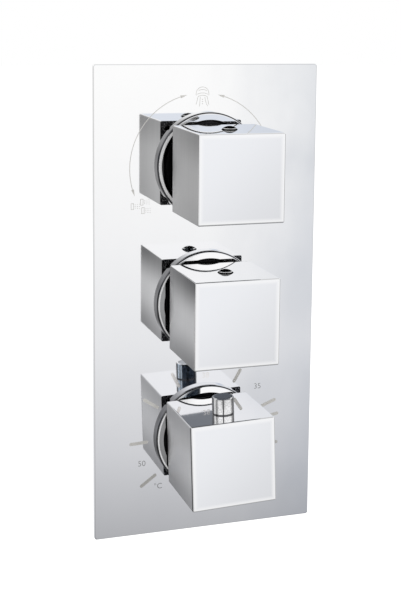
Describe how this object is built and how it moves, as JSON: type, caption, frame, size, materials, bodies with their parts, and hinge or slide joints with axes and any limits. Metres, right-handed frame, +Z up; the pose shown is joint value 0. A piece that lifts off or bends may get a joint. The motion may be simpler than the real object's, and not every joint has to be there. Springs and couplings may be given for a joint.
{
  "type": "concealed thermostatic shower valve",
  "caption": "Concealed shower valve on a tall cover plate: square diverter, flow and temperature handles over a cast body with inlet unions, check valves and outlets.",
  "frame": {"origin": "middle of the cover plate in its back plane, which is the finished wall plane; the axis of the middle (flow) handle passes through it", "axes": "X to the right, Y into the wall, Z up; the handles stand out towards -Y"},
  "size_m": [0.136, 0.1374, 0.282],
  "materials": {
    "chrome": "polished",
    "foam": "matt closed-cell foam",
    "rubber": "matt",
    "cast_brass": "as cast, shot blasted",
    "brass": "turned",
    "polymer": "moulded",
    "stop_polymer": "moulded",
    "ceramic": "lapped ceramic",
    "copper": "drawn copper",
    "steel": "stainless",
    "fibre": "matt fibre"
  },
  "bodies": {
    "casting": {"cartridge_seals": "rubber", "cold_check_cage": "polymer", "cold_union": "brass", "collar_seals": "rubber", "divert_base_seal": "rubber", "divert_collar": "chrome", "divert_housing": "polymer", "divert_nut": "brass", "divert_seat_disc": "ceramic", "face_plate": "chrome", "flow_base_seal": "rubber", "flow_collar": "chrome", "flow_housing": "polymer", "flow_nut": "brass", "flow_seat_disc": "ceramic", "hot_check_cage": "polymer", "hot_union": "brass", "inlet_strainers": "steel", "pipe_nuts": "brass", "pipe_olives": "brass", "plate_seal": "foam", "stop_ring": "stop_polymer", "thermo_collar": "chrome", "thermo_end_ring": "steel", "thermo_housing": "polymer", "thermo_nut": "brass", "union_washers": "fibre", "valve_body": "cast_brass"},
    "divert_knob": {"divert_handle": "chrome", "divert_insert": "brass", "divert_grub_screw": "steel", "divert_cap": "chrome", "divert_spindle": "brass", "divert_disc": "ceramic"},
    "flow_knob": {"flow_handle": "chrome", "flow_insert": "brass", "flow_grub_screw": "steel", "flow_cap": "chrome", "flow_spindle": "brass", "flow_disc": "ceramic"},
    "thermo_knob": {"thermo_handle": "chrome", "thermo_insert": "brass", "thermo_grub_screw": "steel", "thermo_spindle": "brass"},
    "button": {"safety_button": "chrome", "safety_latch": "brass", "button_spring": "steel"},
    "drive": {"drive_nut": "brass", "overload_pusher": "polymer", "overload_spring": "steel", "wax_piston": "steel"},
    "regulator": {"shuttle": "polymer", "wax_element": "copper", "return_spring": "steel"},
    "hot_check": {"hot_poppet": "polymer", "hot_check_spring": "steel"},
    "cold_check": {"cold_poppet": "polymer", "cold_check_spring": "steel"}
  },
  "joints": [
    {"name": "divert_turn", "type": "hinge", "parent": "casting", "child": "divert_knob", "pos_m": [0, 0, 0.082], "axis": [0, -1, 0], "range_deg": [-115, 115]},
    {"name": "flow_turn", "type": "hinge", "parent": "casting", "child": "flow_knob", "pos_m": [0, 0, 0], "axis": [0, -1, 0], "range_deg": [0, 90]},
    {"name": "temperature_turn", "type": "hinge", "parent": "casting", "child": "thermo_knob", "pos_m": [0, 0, -0.082], "axis": [0, -1, 0], "range_deg": [-118, 110]},
    {"name": "safety_press", "type": "slide", "parent": "thermo_knob", "child": "button", "axis": [0.0349, 0, -0.9994], "range_m": [0, 0.003], "stiffness_N_per_m": 400, "springref_m": -0.005, "deforming": ["button_spring"]},
    {"name": "drive_feed", "type": "slide", "parent": "casting", "child": "drive", "axis": [0, 1, 0], "range_m": [-0.00099, 0.00093]},
    {"name": "regulator_shift", "type": "slide", "parent": "drive", "child": "regulator", "axis": [0, 1, 0], "range_m": [-0.0006, 0.0008], "stiffness_N_per_m": 1500, "deforming": ["return_spring"]},
    {"name": "hot_check_lift", "type": "slide", "parent": "casting", "child": "hot_check", "axis": [0, 0, 1], "range_m": [0, 0.0025], "stiffness_N_per_m": 60, "springref_m": -0.005, "deforming": ["hot_check_spring"]},
    {"name": "cold_check_lift", "type": "slide", "parent": "casting", "child": "cold_check", "axis": [0, 0, 1], "range_m": [0, 0.0025], "stiffness_N_per_m": 60, "springref_m": -0.005, "deforming": ["cold_check_spring"]}
  ],
  "couplings": [
    {"joint": "drive_feed", "follows": "temperature_turn", "m_per_rad": 0.00047746}
  ]
}
